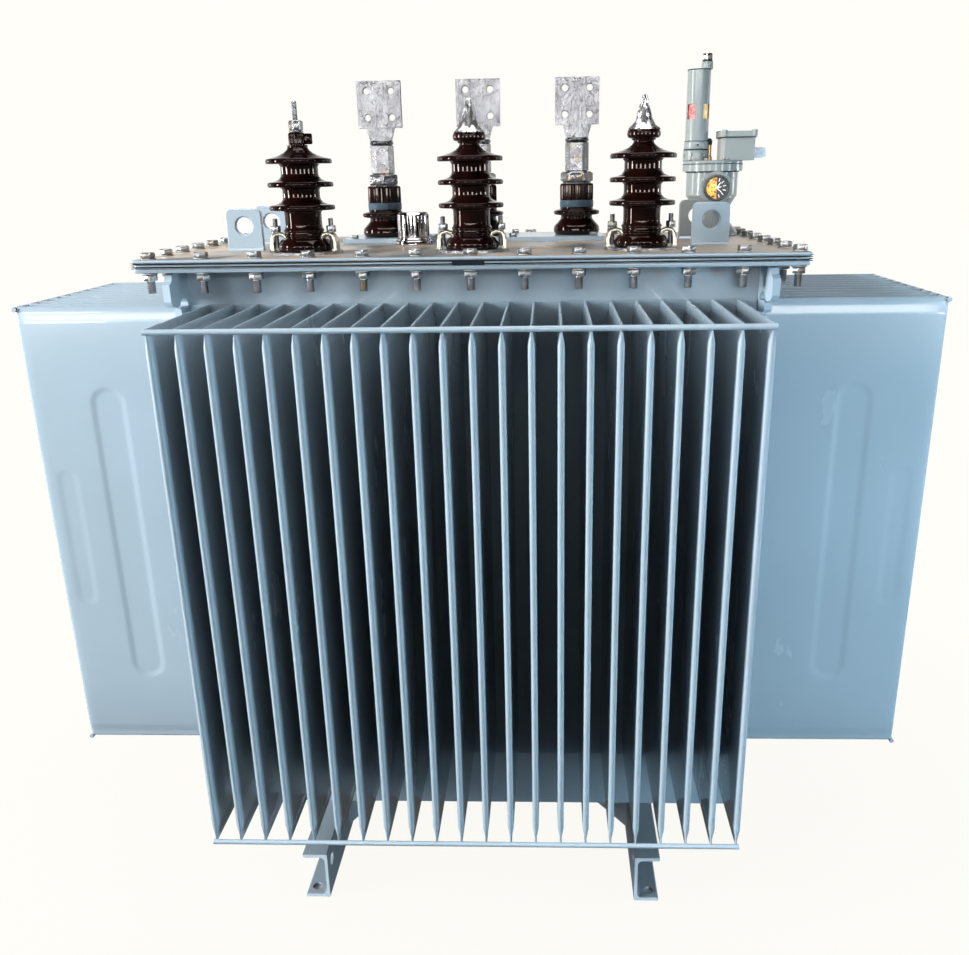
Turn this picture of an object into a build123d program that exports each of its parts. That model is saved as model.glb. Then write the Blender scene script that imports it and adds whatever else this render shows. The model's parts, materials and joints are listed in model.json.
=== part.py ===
from build123d import *
import math
import os

# Oil-filled power transformer with corrugated cooling walls, standing on two channel skids.
# Millimetres, +Z up. Origin on the ground under the middle of the tank, front towards -Y,
# +X to the right of someone who stands in front.

# skids
skid_web_x = 338.5
skid_width = 54.0
skid_height = 113.0
skid_web_t = 6.5
skid_flange_t = 8.0
skid_fillet_r = 10.0
skid_tip_r = 4.0
skid_half_len = 491.0
skid_foot_hole_r = 11.0
skid_foot_hole_out = 33.5
skid_foot_hole_inset = 25.0
skid_web_hole_r = 15.0
skid_web_hole_inset = 40.0
skid_web_hole_z = 72.0
gusset_t = 8.0
gusset_run = 88.0
gusset_drop = 91.0
gusset_lip = 5.0
gusset_y = 260.0

# tank
tank_half_x = 583.0
tank_half_y = 295.0
tank_height = 1239.0
tank_wall_t = 6.0
tank_corner_r = 22.0
tank_floor_t = 10.0

# rim: flange on the tank, gasket frame, cover
rim_overhang = 62.5
rim_t = 10.0
rim_corner_r = 10.0
frame_inset = 1.5
frame_t = 7.0
cover_lip = 2.5
cover_t = 9.0

# cooling fins
fin_thickness = 12.0
fin_pinch_t = 4.0
fin_pinch_len = 13.0
fin_taper_len = 22.0
root_sheet_t = 4.0
root_margin = 22.0
front_fin_count = 22
front_fin_edge = 58.0
front_fin_depth = 326.5
front_fin_base = 138.0
front_fin_top_gap = 66.0
side_fin_count = 11
side_fin_edge = 59.5
side_fin_depth = 374.0
side_fin_base = 141.0
side_fin_top_gap = 73.0
rod_r = 5.0
rod_overrun = 5.5
rod_top_drop = 6.0
rod_base_hang = 2.0

# corner hooks under the rim
hook_t = 16.0
hook_reach = 62.0
hook_height = 90.0
hook_inset = 11.0
hook_turn = 12.0
hook_sink = 7.0
hook_reach_shares = (0.40, 0.50, 0.50, 0.42, 0.10, 0.08, 0.20, 0.38, 0.50, 0.56, 0.70, 0.92,
                     1.0, 1.0, 0.85, 0.80, 0.66)
hook_height_shares = (0.0, 0.06, 0.22, 0.26, 0.26, 0.34, 0.43, 0.44, 0.36, 0.28, 0.26, 0.30,
                      0.40, 0.76, 0.83, 0.96, 0.99)

# lifting lugs on the cover
lug_width = 78.0
lug_height = 90.0
lug_t = 12.0
lug_corner_r = 15.0
lug_hole_r = 18.0
lug_hole_height = 51.0
lug_inset_x = 153.5
lug_inset_y = 252.0

# high-voltage bushings, heights counted from the cover
hv_pitch = 339.5
hv_mid_x = 0.0
hv_inset = 140.0
hv_seat_r = 74.0
hv_seat_t = 5.0
hv_foot_r = 53.0
hv_foot_height = 24.5
hv_foot_round_r = 11.0
hv_ledge_r = 39.5
hv_shoulder_height = 8.0
hv_neck_r = 37.0
hv_shed_r = 65.0
hv_shed_tip_t = 9.0
hv_shed_rise = 12.0
hv_shed_under = 3.0
hv_shed_count = 3
hv_first_shed = 88.5
hv_shed_pitch = 43.5
hv_top_r = 20.0
hv_cone_height = 24.0
hv_collar_height = 6.5
hv_cap_r = 29.5
hv_small_cap_r = 16.5
hv_cap_height = 25.0
hv_nut_af = 24.0
hv_nut_height = 23.0
hv_stud_r = 5.0
hv_stud_len = 32.0
hv_wrap_r = 17.0
hv_wrap_tip_r = 5.0
clamp_width = 26.0
clamp_t = 9.0
clamp_foot_r = 71.0
clamp_nose_r = 40.0
clamp_bend_r = 14.0

# low-voltage plate and bushings
lv_mid_x = -6.5
lv_pitch = 226.5
lv_inset = 210.0
lv_plate_mid_x = -20.0
lv_plate_half_x = 300.0
lv_plate_front = 88.0
lv_plate_back = 112.0
lv_plate_t = 10.0
lv_base_r = 55.0
lv_base_height = 44.0
lv_base_bell_share = 0.35
lv_base_neck_share = 0.90
lv_neck_r = 39.0
lv_shed_r = 54.0
lv_shed_t = 12.0
lv_collar_height = 6.0
lv_band_r = 39.5
lv_band_t = 15.0
lv_cap_r = 39.0
lv_cap_height = 37.0
lv_nut_af = 65.0
lv_nut_height = 26.0
lv_sleeve_r = 28.0
lv_sleeve_height = 67.0
lv_tongue_half_low = 25.0
lv_tongue_half_top = 33.0
lv_tongue_height = 34.5
lv_palm_size = 100.0
lv_palm_t = 14.0
lv_palm_hole_r = 7.5
lv_palm_hole_pitch = 56.0

# filler with a bright cap
filler_x = -149.5
filler_plate_gap = 4.0
filler_ring_r = 43.0
filler_ring_t = 9.0
filler_r = 35.7
filler_height = 70.0
filler_round_r = 3.0

# protection relay, heights counted from the cover
relay_inset_x = 105.0
relay_inset_y = 150.0
relay_foot_r = 66.0
relay_foot_t = 7.0
relay_pipe_r = 30.0
relay_pipe_top = 50.0
relay_low_r = 46.0
relay_low_height = 69.0
relay_body_r = 60.0
relay_body_base = 92.0
relay_body_top = 146.0
relay_flange_r = 70.0
relay_flange_t = 16.0
relay_boss_r = 37.0
relay_boss_reach = 72.0
relay_dial_r = 29.5
relay_dial_t = 4.0
relay_dial_height = 109.0
relay_tube_off = -40.5
relay_tube_r = 26.5
relay_tube_wall = 3.0
relay_tube_top = 367.0
relay_step_r = 28.5
relay_step_top = 193.0
relay_collar_r = 27.5
relay_collar_top = 212.0
relay_window_base = 261.0
relay_window_top = 293.0
relay_window_width = 21.0
relay_window_turn = 45.0
relay_core_len = 60.0
relay_plug_off = -23.0
relay_plug_r = 13.0
relay_plug_height = 12.0
relay_plug_nut_af = 22.0
relay_plug_nut_height = 22.0
relay_box_off = 15.0
relay_box_len = 75.0
relay_box_half_y = 42.0
relay_box_base = 169.0
relay_box_height = 51.0
relay_box_corner_r = 6.0
relay_lid_t = 13.0
relay_lid_over = 2.0
relay_neck_half = 16.0
relay_neck_len = 44.0
relay_gland_r = 12.0
relay_gland_rise = 17.0
relay_gland_len = 33.0
relay_gland_bore_r = 6.0

tank_base_z = skid_height
body_rim_z = tank_base_z + tank_height
rim_half_x = tank_half_x + rim_overhang
rim_half_y = tank_half_y + rim_overhang
cover_half_x = rim_half_x + cover_lip
cover_half_y = rim_half_y + cover_lip
frame_z = body_rim_z + rim_t
cover_z = frame_z + frame_t
deck_z = cover_z + cover_t
hv_last_shed = hv_first_shed + hv_shed_pitch * (hv_shed_count - 1)
hv_top_height = hv_last_shed + hv_cone_height + hv_collar_height
hv_nut_base = hv_top_height + hv_cap_height
hv_stud_top = hv_nut_base + hv_nut_height + hv_stud_len
lv_row_y = cover_half_y - lv_inset

os.makedirs("parts", exist_ok=True)


def node(name, shape):
    export_step(shape, "parts/" + name + ".step")


def slab(half_x, half_y, base_z, top_z, corner_r):
    plan = RectangleRounded(half_x * 2, half_y * 2, corner_r)
    return Pos(0, 0, base_z) * extrude(plan, amount=top_z - base_z)


def block(x0, x1, y0, y1, z0, z1):
    middle = Pos((x0 + x1) / 2, (y0 + y1) / 2, (z0 + z1) / 2)
    return middle * Box(x1 - x0, y1 - y0, z1 - z0)


def upright(radius, base_z, top_z):
    return Pos(0, 0, (base_z + top_z) / 2) * Cylinder(radius, top_z - base_z)


def turned(points):
    # points are radius and height, from the axis outwards and back
    outline = Plane.XZ * make_face(Polyline(*points, close=True))
    return revolve(outline, Axis.Z)


def hexagon(across_flats, height):
    return extrude(RegularPolygon(across_flats / 2, 6, major_radius=False), amount=height)


def four_ways(shape):
    other_side = mirror(shape, Plane.YZ)
    return [shape, other_side, mirror(shape, Plane.XZ), mirror(other_side, Plane.XZ)]


# tank: a closed body, filled from wall to wall, on its floor plate
def tank():
    floor_top = tank_base_z + tank_floor_t
    node("tank_body", slab(tank_half_x, tank_half_y, floor_top, body_rim_z, tank_corner_r))
    node("tank_floor", slab(tank_half_x, tank_half_y, tank_base_z, floor_top, tank_corner_r))


# flange and gasket frame share one opening, the inside of the tank wall
def ring(half_x, half_y, base_z, top_z):
    opening = slab(tank_half_x - tank_wall_t, tank_half_y - tank_wall_t, base_z, top_z,
                   tank_corner_r - tank_wall_t)
    return slab(half_x, half_y, base_z, top_z, rim_corner_r) - opening


def rim():
    node("tank_flange", ring(rim_half_x, rim_half_y, body_rim_z, frame_z))
    node("gasket_frame", ring(rim_half_x - frame_inset, rim_half_y - frame_inset, frame_z, cover_z))
    node("cover_plate", slab(cover_half_x, cover_half_y, cover_z, deck_z, rim_corner_r))


# one fin reaching along -Y, pressed flat at top and bottom, with a step at each outer corner
def fin(root, reach, base_z, top_z):
    thick = fin_thickness / 2
    thin = fin_pinch_t / 2
    low = base_z + fin_pinch_len
    high = top_z - fin_pinch_len
    right = [(thin, base_z), (thin, low), (thick, low + fin_taper_len),
             (thick, high - fin_taper_len), (thin, high), (thin, top_z)]
    left = [(-x, z) for x, z in reversed(right)]
    face = Plane.XZ * make_face(Polyline(*(right + left), close=True))
    body = extrude(face, amount=reach)
    plan = Pos(0, -reach / 2) * Rectangle(fin_thickness, reach)
    nose = [v for v in plan.vertices() if v.Y < -reach / 2]
    plan = fillet(nose, thick - thin / 2)
    prism = Pos(0, 0, base_z) * extrude(plan, amount=top_z - base_z)
    sheet = block(-thick, thick, -root, 0, base_z, top_z)
    low_step = rod_r - rod_base_hang
    high_step = rod_r + rod_top_drop
    low_seat = block(-thick, thick, -reach, -reach + rod_r, base_z, base_z + low_step)
    high_seat = block(-thick, thick, -reach, -reach + rod_r, top_z - high_step, top_z)
    return (body & prism) - sheet - low_seat - high_seat


# a bank of fins on a root sheet, and the two brace rods in its outer corners, built facing -Y
def fin_bank(count, half_span, wall, depth, half_width, base_z, top_z):
    reach = wall + depth
    pitch = half_span * 2 / (count - 1)
    sheet = block(-half_width, half_width, -wall - root_sheet_t, -wall, base_z, top_z)
    one = fin(wall + root_sheet_t / 2, reach, base_z, top_z)
    bank = sheet.fuse(*[Pos(-half_span + i * pitch, 0, 0) * one for i in range(count)])
    rod = Rot(0, 90, 0) * Cylinder(rod_r, (half_span + rod_overrun) * 2)
    rods = [Pos(0, -reach, z) * rod for z in (base_z - rod_base_hang, top_z - rod_top_drop)]
    return bank, rods


def cooling():
    front, front_rods = fin_bank(front_fin_count, tank_half_x - front_fin_edge, tank_half_y,
                                 front_fin_depth, tank_half_x - root_margin,
                                 tank_base_z + front_fin_base, body_rim_z - front_fin_top_gap)
    node("front_fins", front)
    node("rear_fins", Rot(0, 0, 180) * front)
    turned_rods = [Rot(0, 0, 180) * rod for rod in front_rods]
    node("long_brace_rods", Compound(front_rods + turned_rods))
    side, side_rods = fin_bank(side_fin_count, tank_half_y - side_fin_edge, tank_half_x,
                               side_fin_depth, tank_half_y - root_margin,
                               tank_base_z + side_fin_base, body_rim_z - side_fin_top_gap)
    node("right_fins", Rot(0, 0, 90) * side)
    node("left_fins", Rot(0, 0, -90) * side)
    turned_rods = [Rot(0, 0, turn) * rod for turn in (90, -90) for rod in side_rods]
    node("side_brace_rods", Compound(turned_rods))


# channel skid with its web inboard and its flanges pointing out, drawn for the right-hand side
def skid():
    tip = skid_web_x + skid_width
    web_out = skid_web_x + skid_web_t
    low = skid_flange_t
    high = skid_height - skid_flange_t
    outline = Polyline((skid_web_x, 0), (tip, 0), (tip, low), (web_out, low), (web_out, high),
                       (tip, high), (tip, skid_height), (skid_web_x, skid_height), close=True)
    section = make_face(outline)
    inner = [v for v in section.vertices() if abs(v.X - web_out) < skid_web_t / 2]
    section = fillet(inner, skid_fillet_r)
    tips = [v for v in section.vertices()
            if abs(v.X - tip) < skid_web_t / 2 and low / 2 < v.Y < skid_height - low / 2]
    section = fillet(tips, skid_tip_r)
    backs = [v for v in section.vertices() if abs(v.X - skid_web_x) < skid_web_t / 2]
    section = fillet(backs, skid_tip_r / 2)
    rail = Pos(0, skid_half_len, 0) * extrude(Plane.XZ * section, amount=skid_half_len * 2)
    foot_hole = upright(skid_foot_hole_r, 0, skid_flange_t * 2)
    web_hole = Rot(0, 90, 0) * Cylinder(skid_web_hole_r, skid_width)
    for side in (-1, 1):
        foot_y = side * (skid_half_len - skid_foot_hole_inset)
        rail -= Pos(skid_web_x + skid_foot_hole_out, foot_y, 0) * foot_hole
        web_y = side * (skid_half_len - skid_web_hole_inset)
        rail -= Pos(skid_web_x, web_y, skid_web_hole_z) * web_hole
    return rail


# three-cornered gusset from the tank floor down to the inboard side of the skid web
def gusset():
    inboard = skid_web_x - gusset_run
    outline = Polyline((skid_web_x, skid_height), (inboard, skid_height),
                       (inboard, skid_height - gusset_lip),
                       (skid_web_x, skid_height - gusset_drop), close=True)
    plate = extrude(Plane.XZ * make_face(outline), amount=gusset_t / 2, both=True)
    return Pos(0, -gusset_y, 0) * plate


def skids():
    right = skid()
    node("right_skid", right)
    node("left_skid", mirror(right, Plane.YZ))
    node("skid_gussets", Compound(four_ways(gusset())))


# hook near a tank corner, standing out to the front and turned a little outwards: a short arm
# below, then the hook itself, which comes down from under the flange and curls back to the arm
def hook():
    low = body_rim_z - hook_height
    curve = [(hook_reach * out, low + hook_height * up)
             for out, up in zip(hook_reach_shares, hook_height_shares)]
    crown = low + hook_height * hook_height_shares[-1]
    outline = Polyline((-hook_sink, low), *curve, (-hook_sink, crown), close=True)
    plate = extrude(Plane.XZ * make_face(outline), amount=hook_t / 2, both=True)
    return Pos(tank_half_x - hook_inset, -tank_half_y, 0) * Rot(0, 0, hook_turn - 90) * plate


def hooks():
    walls = slab(tank_half_x, tank_half_y, tank_base_z, body_rim_z, tank_corner_r)
    node("corner_hooks", Compound(four_ways(hook() - walls)))


# drilled plate with rounded top corners, drawn for the front right of the cover
def lug():
    plate = extrude(Plane.XZ * Rectangle(lug_width, lug_height), amount=lug_t / 2, both=True)
    top = plate.edges().filter_by(Axis.Y).group_by(Axis.Z)[-1]
    plate = Pos(0, 0, lug_height / 2) * fillet(top, lug_corner_r)
    plate -= Pos(0, 0, lug_hole_height) * Rot(90, 0, 0) * Cylinder(lug_hole_r, lug_t * 2)
    return Pos(cover_half_x - lug_inset_x, lug_inset_y - cover_half_y, deck_z) * plate


def lugs():
    node("lifting_lugs", Compound(four_ways(lug())))


# glazed body of a high-voltage bushing: foot ring, neck with three sheds, cone up to the cap
def hv_body():
    foot = hv_seat_t + hv_foot_height
    points = [(0, hv_seat_t), (hv_foot_r, hv_seat_t), (hv_foot_r, foot - hv_foot_round_r),
              (hv_foot_r - hv_foot_round_r, foot), (hv_ledge_r, foot),
              (hv_neck_r, foot + hv_shoulder_height)]
    for i in range(hv_shed_count):
        low_tip = hv_first_shed + i * hv_shed_pitch - hv_shed_tip_t / 2
        points += [(hv_neck_r, low_tip - hv_shed_under), (hv_shed_r, low_tip),
                   (hv_shed_r, low_tip + hv_shed_tip_t),
                   (hv_neck_r, low_tip + hv_shed_tip_t + hv_shed_rise)]
    points[-1] = (hv_top_r, hv_last_shed + hv_cone_height)
    points += [(hv_top_r, hv_top_height), (0, hv_top_height)]
    return turned(points)


def hv_terminal(wrapped):
    if wrapped:
        cap = upright(hv_cap_r, hv_top_height, hv_nut_base)
        rise = hv_stud_top - hv_nut_base
        return cap + Pos(0, 0, hv_nut_base + rise / 2) * Cone(hv_wrap_r, hv_wrap_tip_r, rise)
    cap = upright(hv_small_cap_r, hv_top_height, hv_nut_base)
    nut = Pos(0, 0, hv_nut_base) * hexagon(hv_nut_af, hv_nut_height)
    return cap + nut + upright(hv_stud_r, hv_nut_base, hv_stud_top)


# cast claw that holds the foot ring down, on the +X side of the bushing, standing on the seat
def clamp():
    arm = hv_seat_t + hv_foot_height
    top = arm + clamp_t
    inner = clamp_foot_r - clamp_t
    outline = Polyline((inner, hv_seat_t), (clamp_foot_r, hv_seat_t), (clamp_foot_r, top),
                       (clamp_nose_r, top), (clamp_nose_r, arm), (inner, arm), close=True)
    face = make_face(outline)
    bend = [v for v in face.vertices() if v.X > inner + clamp_t / 2 and v.Y > arm]
    return extrude(Plane.XZ * fillet(bend, clamp_bend_r), amount=clamp_width / 2, both=True)


def hv_group():
    seat = upright(hv_seat_r, 0, hv_seat_t)
    names = ("left", "mid", "right")
    row_y = hv_inset - cover_half_y
    places = [Pos(hv_mid_x + i * hv_pitch, row_y, deck_z) for i in (-1, 0, 1)]
    straps = [clamp(), mirror(clamp(), Plane.YZ)]
    node("hv_seats", Compound([place * seat for place in places]))
    node("hv_clamps", Compound([place * strap for place in places for strap in straps]))
    for name, place in zip(names, places):
        node("hv_bushing_" + name, place * hv_body())
        node("hv_terminal_" + name, place * hv_terminal(name != "left"))


# short low-voltage bushing: belled base, thin shed, collar
def lv_body():
    shed = lv_base_height
    top = shed + lv_shed_t + lv_collar_height
    points = [(0, 0), (lv_base_r, 0), (lv_base_r, shed * lv_base_bell_share),
              (lv_neck_r, shed * lv_base_neck_share), (lv_neck_r, shed), (lv_shed_r, shed),
              (lv_shed_r, shed + lv_shed_t / 2), (lv_neck_r, shed + lv_shed_t),
              (lv_neck_r, top), (0, top)]
    return turned(points), top


# tinned terminal: round sleeve with a tongue that widens into a drilled square palm
def lv_terminal(base):
    sleeve_top = base + lv_sleeve_height
    palm_z = sleeve_top + lv_tongue_height
    sleeve = upright(lv_sleeve_r, base, sleeve_top)
    tongue = make_face(Polyline((-lv_tongue_half_low, sleeve_top),
                                (lv_tongue_half_low, sleeve_top),
                                (lv_tongue_half_top, palm_z),
                                (-lv_tongue_half_top, palm_z), close=True))
    tongue = extrude(Plane.XZ * tongue, amount=lv_palm_t / 2, both=True)
    half = lv_palm_size / 2
    palm = block(-half, half, -lv_palm_t / 2, lv_palm_t / 2, palm_z, palm_z + lv_palm_size)
    hole = Rot(90, 0, 0) * Cylinder(lv_palm_hole_r, lv_palm_t * 2)
    step = lv_palm_hole_pitch / 2
    for x in (-step, step):
        for z in (-step, step):
            palm -= Pos(x, 0, palm_z + half + z) * hole
    return sleeve + tongue + palm


def lv_group():
    plate_z = deck_z + lv_plate_t
    node("lv_plate", block(lv_plate_mid_x - lv_plate_half_x, lv_plate_mid_x + lv_plate_half_x,
                           lv_row_y - lv_plate_front, lv_row_y + lv_plate_back, deck_z, plate_z))
    body, top = lv_body()
    band_top = top + lv_band_t
    cap_top = band_top + lv_cap_height
    nut_top = cap_top + lv_nut_height
    band = upright(lv_band_r, top, band_top)
    cap = upright(lv_cap_r, band_top, cap_top)
    nut = Pos(0, 0, cap_top) * hexagon(lv_nut_af, lv_nut_height)
    terminal = lv_terminal(nut_top)
    names = ("left", "mid", "right")
    places = [Pos(lv_mid_x + i * lv_pitch, lv_row_y, plate_z) for i in (-1, 0, 1)]
    node("lv_bands", Compound([place * band for place in places]))
    node("lv_caps", Compound([place * cap for place in places]))
    node("lv_nuts", Compound([place * nut for place in places]))
    for name, place in zip(names, places):
        node("lv_bushing_" + name, place * body)
        node("lv_terminal_" + name, place * terminal)


def filler():
    base = upright(filler_ring_r, 0, filler_ring_t)
    can = upright(filler_r, filler_ring_t, filler_height)
    can = fillet(can.edges().group_by(Axis.Z)[-1], filler_round_r)
    filler_y = lv_row_y - lv_plate_front - filler_plate_gap - filler_ring_r
    node("filler_cap", Pos(filler_x, filler_y, deck_z) * (base + can))


# float chamber of the relay on its flared pipe foot, with the dial on a round boss in front
def relay_chamber(here):
    foot = turned([(0, 0), (relay_foot_r, 0), (relay_foot_r, relay_foot_t),
                   (relay_pipe_r, relay_pipe_top), (0, relay_pipe_top)])
    node("relay_foot", here * foot)
    flange_top = relay_body_top + relay_flange_t
    chamber = turned([(0, relay_pipe_top), (relay_pipe_r, relay_pipe_top),
                      (relay_low_r, relay_low_height), (relay_body_r, relay_body_base),
                      (relay_body_r, relay_body_top), (relay_flange_r, relay_body_top),
                      (relay_flange_r, flange_top), (0, flange_top)])
    boss = Rot(90, 0, 0) * Cylinder(relay_boss_r, relay_boss_reach)
    chamber += Pos(0, -relay_boss_reach / 2, relay_dial_height) * boss
    node("relay_chamber", here * chamber)
    dial = Rot(90, 0, 0) * Cylinder(relay_dial_r, relay_dial_t)
    dial_y = relay_boss_reach + relay_dial_t / 2
    node("relay_dial", here * Pos(0, -dial_y, relay_dial_height) * dial)


# indicator tube with two windows over a coloured core, and the plug beside its axis on top
def relay_tube(here):
    tube = upright(relay_step_r, relay_body_top + relay_flange_t, relay_step_top)
    tube += upright(relay_collar_r, relay_step_top, relay_collar_top)
    tube += upright(relay_tube_r, relay_collar_top, relay_tube_top)
    window_mid = (relay_window_base + relay_window_top) / 2
    core = upright(relay_tube_r - relay_tube_wall, window_mid - relay_core_len / 2,
                   window_mid + relay_core_len / 2)
    tube -= core
    slot = Box(relay_window_width, relay_tube_r * 2, relay_window_top - relay_window_base)
    for turn in (-relay_window_turn, relay_window_turn):
        tube -= Pos(0, 0, window_mid) * Rot(0, 0, turn) * Pos(0, -relay_tube_r, 0) * slot
    node("relay_tube", here * Pos(relay_tube_off, 0, 0) * tube)
    node("relay_indicator", here * Pos(relay_tube_off, 0, 0) * core)
    plug = upright(relay_plug_r, 0, relay_plug_height)
    plug += Pos(0, 0, relay_plug_height) * hexagon(relay_plug_nut_af, relay_plug_nut_height)
    node("relay_plug", here * Pos(relay_plug_off, 0, relay_tube_top) * plug)


# terminal box on a short neck, its lid, and the gland on its right-hand side
def relay_box(here):
    left = relay_box_off
    right = left + relay_box_len
    top = relay_box_base + relay_box_height
    half = relay_box_half_y
    box = block(left, right, -half, half, relay_box_base, top)
    box = fillet(box.edges().filter_by(Axis.Z), relay_box_corner_r)
    box += block(left, left + relay_neck_len, -relay_neck_half, relay_neck_half,
                 relay_body_top + relay_flange_t, relay_box_base)
    node("relay_box", here * box)
    over = relay_lid_over
    lid = block(left - over, right + over, -half - over, half + over, top, top + relay_lid_t)
    node("relay_lid", here * fillet(lid.edges().filter_by(Axis.Z), relay_box_corner_r))
    gland = Cylinder(relay_gland_r, relay_gland_len)
    gland -= Pos(0, 0, relay_gland_len / 2) * Cylinder(relay_gland_bore_r, relay_gland_len)
    entry = Pos(right + relay_gland_len / 2, 0, relay_box_base + relay_gland_rise) * Rot(0, 90, 0)
    node("relay_gland", here * entry * gland)


def relay():
    here = Pos(cover_half_x - relay_inset_x, cover_half_y - relay_inset_y, deck_z)
    relay_chamber(here)
    relay_tube(here)
    relay_box(here)


skids()
tank()
rim()
cooling()
hooks()
lugs()
hv_group()
lv_group()
filler()
relay()
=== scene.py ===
import bmesh
import bpy
import json
import math
import random
from mathutils import Matrix, Vector, noise


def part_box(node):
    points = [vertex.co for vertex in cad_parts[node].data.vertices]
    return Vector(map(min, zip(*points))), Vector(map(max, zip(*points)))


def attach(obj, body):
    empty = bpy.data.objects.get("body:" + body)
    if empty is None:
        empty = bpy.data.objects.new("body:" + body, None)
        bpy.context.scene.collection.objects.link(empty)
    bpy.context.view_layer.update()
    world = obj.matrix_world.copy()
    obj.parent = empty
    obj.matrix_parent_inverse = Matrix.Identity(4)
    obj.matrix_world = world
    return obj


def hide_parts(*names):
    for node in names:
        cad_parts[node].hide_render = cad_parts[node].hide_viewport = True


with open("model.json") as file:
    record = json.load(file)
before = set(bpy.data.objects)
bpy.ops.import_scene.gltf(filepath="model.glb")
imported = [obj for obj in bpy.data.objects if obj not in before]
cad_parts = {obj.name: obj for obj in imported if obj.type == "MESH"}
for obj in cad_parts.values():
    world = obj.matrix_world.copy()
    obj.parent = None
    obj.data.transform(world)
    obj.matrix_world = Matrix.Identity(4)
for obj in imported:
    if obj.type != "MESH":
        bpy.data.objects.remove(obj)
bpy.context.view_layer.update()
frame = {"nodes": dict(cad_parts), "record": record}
nodes = frame["nodes"]
record = frame["record"]
scene = bpy.context.scene
MM = 0.001

# camera solved from the photograph: its pixels, angles in radians, place in metres
IMG_W, IMG_H = 969, 955
F_PX, PX, PY = 960.6, 514.11, 510.44
YAW, PITCH, ROLL = 0.0395, 0.3344, 0.0158
EYE = Vector((0.1554, -2.2258, 1.5189))
SENSOR = 36.0
FAR_CLIP = 100


def set_camera():
    right = Vector((math.cos(YAW), math.sin(YAW), 0))
    level = Vector((-math.sin(YAW), math.cos(YAW), 0))
    down = Vector((0, 0, -1))
    ahead = level * math.cos(PITCH) + down * math.sin(PITCH)
    low = down * math.cos(PITCH) - level * math.sin(PITCH)
    x = right * math.cos(ROLL) + low * math.sin(ROLL)
    y = -(low * math.cos(ROLL) - right * math.sin(ROLL))
    data = bpy.data.cameras.new("camera")
    cam = bpy.data.objects.new("camera", data)
    scene.collection.objects.link(cam)
    turn = Matrix((x, y, -ahead)).transposed().to_4x4()
    cam.matrix_world = Matrix.Translation(EYE) @ turn
    data.sensor_width = SENSOR
    data.sensor_fit = "HORIZONTAL"
    data.lens = F_PX * SENSOR / IMG_W
    data.shift_x = (IMG_W / 2 - PX) / IMG_W
    data.shift_y = (PY - IMG_H / 2) / IMG_W
    data.clip_end = FAR_CLIP
    scene.camera = cam


set_camera()


# lights, placed by bearing from the front (left is negative), height angle and distance
def lamp(name, bearing, rise, dist, size, power, aim=(0, -0.2, 0.9), colour=(1, 1, 1),
         diffuse=True, glossy=True):
    b, e = math.radians(bearing), math.radians(rise)
    away = Vector((math.sin(b) * math.cos(e), -math.cos(b) * math.cos(e), math.sin(e)))
    data = bpy.data.lights.new(name, "AREA")
    data.shape = "RECTANGLE"
    data.size, data.size_y = size
    data.energy = power
    data.color = colour
    obj = bpy.data.objects.new(name, data)
    obj.location = Vector(aim) + away * dist
    obj.rotation_euler = (-away).to_track_quat("-Z", "Y").to_euler()
    obj.visible_camera = False
    obj.visible_diffuse = diffuse
    obj.visible_glossy = glossy
    scene.collection.objects.link(obj)


lamp("left_box", bearing=-70, rise=15, dist=5.6, size=(1.8, 2.8), power=1140,
     aim=(0, -0.2, 1.05), glossy=False)
lamp("right_box", bearing=60, rise=3, dist=2.65, size=(0.9, 1.7), power=88,
     aim=(0, -0.2, 0.8), colour=(0.70, 0.92, 1.06), glossy=False)
lamp("front_fill", bearing=-4, rise=21, dist=3.85, size=(5.4, 0.36), power=36, glossy=False)
lamp("left_strip", bearing=-74, rise=10, dist=6.0, size=(0.5, 3.0), power=190, diffuse=False)
lamp("front_bar", bearing=-4, rise=20, dist=3.85, size=(5.4, 0.36), power=74, diffuse=False)
lamp("top_box", bearing=0, rise=84, dist=3.6, size=(3.4, 2.0), power=95)
lamp("back_left", bearing=-140, rise=30, dist=4.6, size=(2.4, 2.4), power=95, glossy=False)
lamp("back_right", bearing=140, rise=30, dist=4.6, size=(2.4, 2.4), power=95, glossy=False)
# small lamps level with the bushings give their sheds rows of bright ticks
for i, bearing in enumerate((-112, -72, -42, -15, 12, 39, 69, 109)):
    lamp("spot_%d" % i, bearing, rise=1.5, dist=3.4, size=(0.42, 0.30), power=9,
         aim=(0.1, -0.22, 1.47), diffuse=False)

WHITE = (1.0, 0.991, 0.947, 1.0)
LID_LEAST = 0.12


# what mirror-like surfaces see: the white background low behind the object, a dim room elsewhere
def seen_in_gloss(tree, vector, low, high, dim, lid=None):
    split = tree.nodes.new("ShaderNodeSeparateXYZ")
    tree.links.new(vector, split.inputs[0])

    def fade(socket, start, end, first, last):
        n = tree.nodes.new("ShaderNodeMapRange")
        n.interpolation_type = "SMOOTHSTEP"
        for name, value in (("From Min", start), ("From Max", end), ("To Min", first), ("To Max", last)):
            n.inputs[name].default_value = value
        tree.links.new(split.outputs[socket], n.inputs["Value"])
        return n.outputs[0]

    behind = fade("Y", low, high, dim, 1.0)
    if lid is None:
        return behind
    times = tree.nodes.new("ShaderNodeMath")
    times.operation = "MULTIPLY"
    tree.links.new(behind, times.inputs[0])
    tree.links.new(fade("Z", lid[0], lid[1], 1.0, LID_LEAST), times.inputs[1])
    return times.outputs[0]


def ray_mask(tree):
    path = tree.nodes.new("ShaderNodeLightPath")
    total = None
    for name in ("Is Glossy Ray", "Is Transmission Ray"):
        if total is None:
            total = path.outputs[name]
            continue
        add = tree.nodes.new("ShaderNodeMath")
        add.operation = "MAXIMUM"
        tree.links.new(total, add.inputs[0])
        tree.links.new(path.outputs[name], add.inputs[1])
        total = add.outputs[0]
    return path.outputs["Is Camera Ray"], total


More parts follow.
